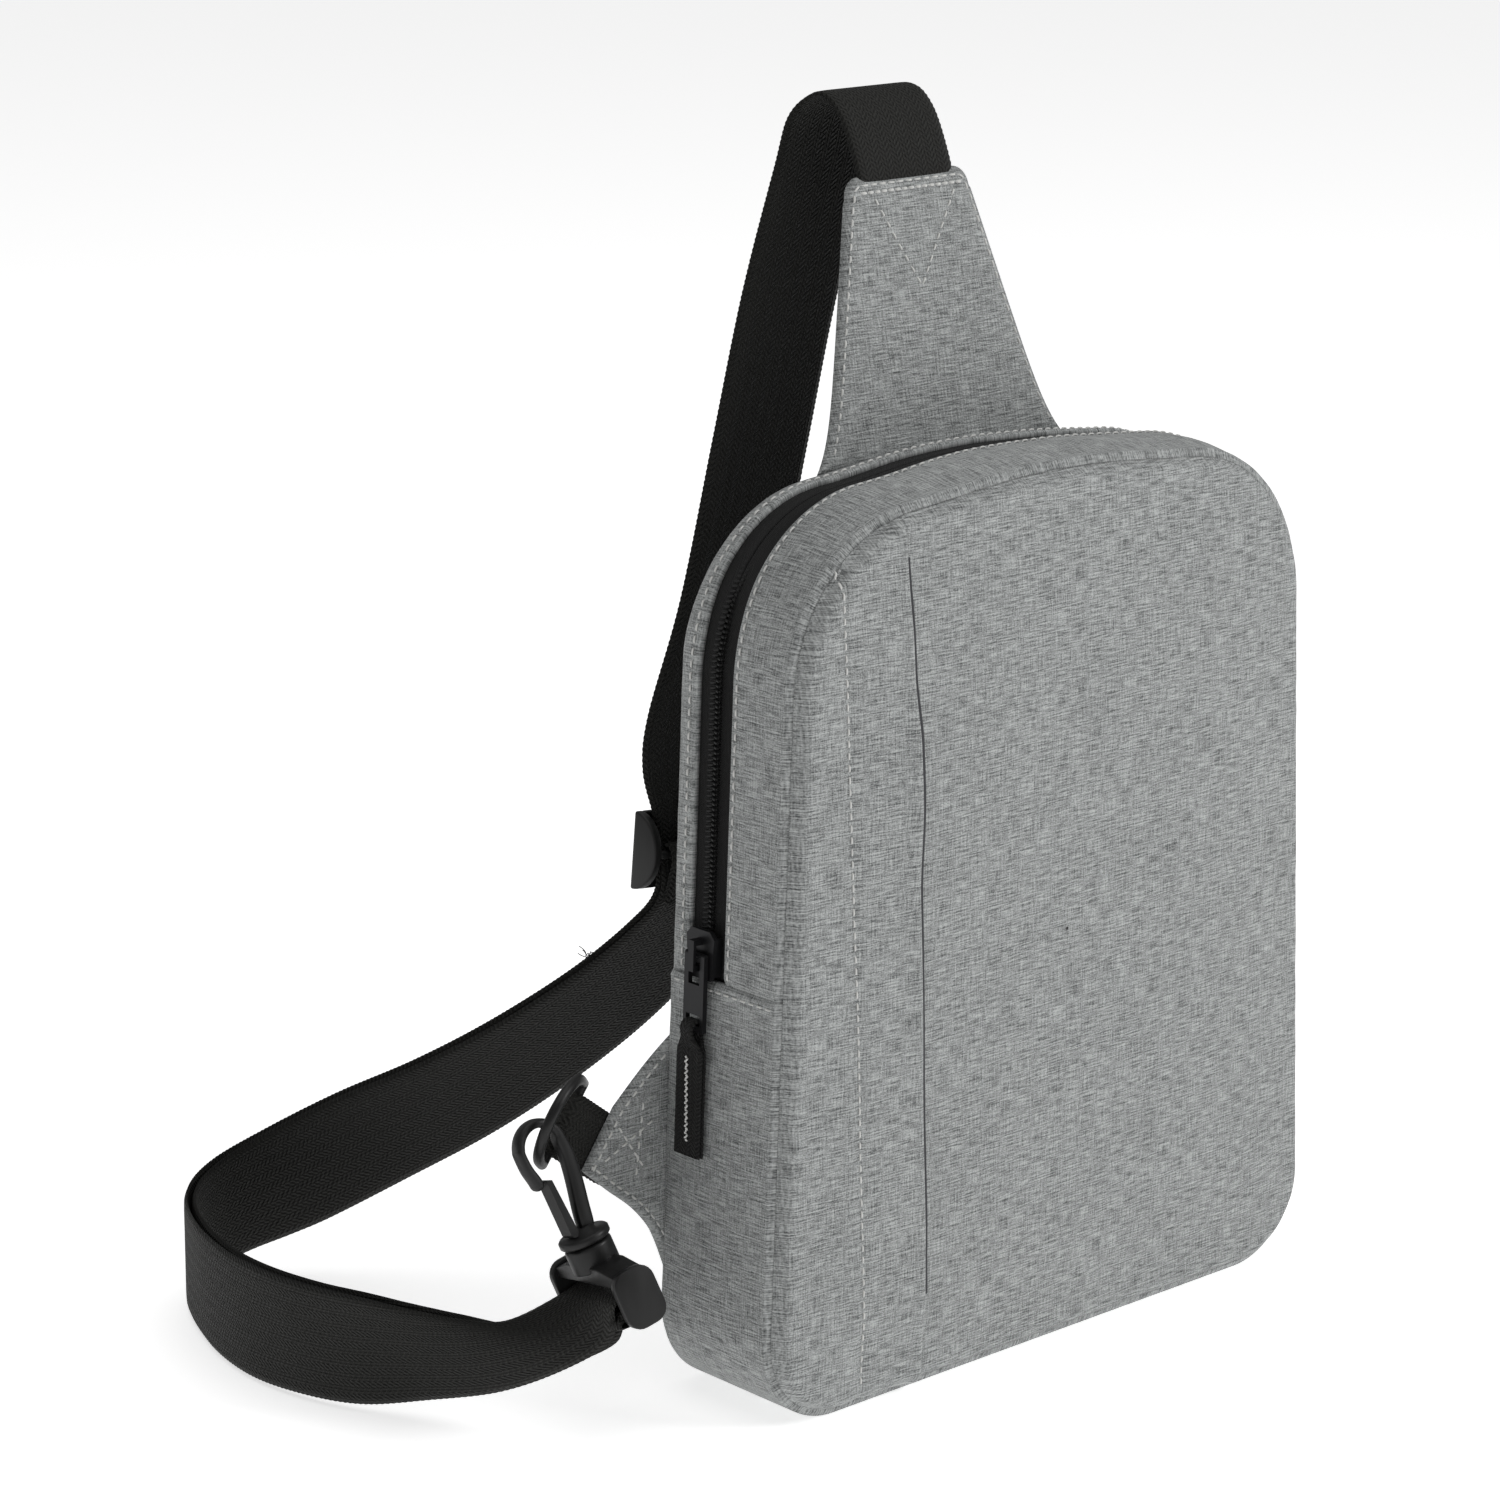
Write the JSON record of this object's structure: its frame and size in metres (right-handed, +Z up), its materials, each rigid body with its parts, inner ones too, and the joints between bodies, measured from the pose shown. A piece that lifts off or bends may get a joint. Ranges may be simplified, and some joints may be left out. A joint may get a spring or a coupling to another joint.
{
  "type": "sling bag",
  "caption": "Upright one-shoulder sling bag in grey melange fabric with an all-round zip, black webbing strap, slide buckle, D-ring and swivel snap hook.",
  "frame": {"origin": "middle of the flat base of the bag, on the surface it stands on, half way between the front and rear seams", "axes": "+X to the right of the front panel, front panel faces -Y, +Z up"},
  "size_m": [0.3093, 0.2078, 0.3628],
  "materials": {
    "heather_fabric": "woven grey melange polyester",
    "dark_lining": "plain thin lining",
    "black_webbing": "ribbed webbing",
    "zip_tape": "plain woven tape",
    "zip_coil": "satin",
    "black_zip_metal": "satin black",
    "black_plastic": "satin"
  },
  "bodies": {
    "bag": {"front_panel": "heather_fabric", "front_side_panel": "heather_fabric", "pocket_lining": "dark_lining", "back_panel": "heather_fabric", "lower_gusset": "heather_fabric", "gusset_front_strip": "heather_fabric", "gusset_rear_strip": "heather_fabric", "zip_tape_front": "zip_tape", "zip_tape_rear": "zip_tape", "zip_coil_front": "zip_coil", "zip_coil_rear": "zip_coil", "binding_front": "black_webbing", "binding_rear": "black_webbing", "main_lining": "dark_lining", "top_tab": "heather_fabric", "side_tab": "heather_fabric", "side_loop": "black_webbing", "strap": "black_webbing", "strap_return": "black_webbing", "slider_buckle": "black_plastic", "hook_base": "black_plastic"},
    "slider": {"zip_slider": "black_zip_metal"},
    "pull": {"zip_pull": "black_zip_metal"},
    "ribbon": {"pull_ribbon": "black_webbing"},
    "ring": {"d_ring": "black_plastic"},
    "hook": {"hook_body": "black_plastic"},
    "gate": {"hook_gate": "black_plastic"}
  },
  "joints": [
    {"name": "zip_run", "type": "slide", "parent": "bag", "child": "slider", "axis": [0.0436, 0, 0.9991], "range_m": [0, 0.065]},
    {"name": "pull_hinge", "type": "hinge", "parent": "slider", "child": "pull", "pos_m": [-0.11008, 0.0075, 0.13487], "axis": [0, 1, 0], "range_deg": [0, 40]},
    {"name": "ribbon_hinge", "type": "hinge", "parent": "pull", "child": "ribbon", "pos_m": [-0.11099, 0.0075, 0.11389], "axis": [0, 1, 0], "range_deg": [0, 60]},
    {"name": "ring_hinge", "type": "hinge", "parent": "bag", "child": "ring", "pos_m": [-0.1438, 0.0258, 0.0885], "axis": [-0.6018, 0, -0.7986], "range_deg": [-6, 2]},
    {"name": "hook_swivel", "type": "hinge", "parent": "bag", "child": "hook", "pos_m": [-0.143, 0.006, 0.042], "axis": [-0.2462, 0.309, 0.9186], "range_deg": [-12, 2]},
    {"name": "gate_hinge", "type": "hinge", "parent": "hook", "child": "gate", "pos_m": [-0.15204, 0.01298, 0.06183], "axis": [0.08, 0.9511, -0.2985], "range_deg": [0, 12], "stiffness_Nm_per_rad": 0.02}
  ]
}
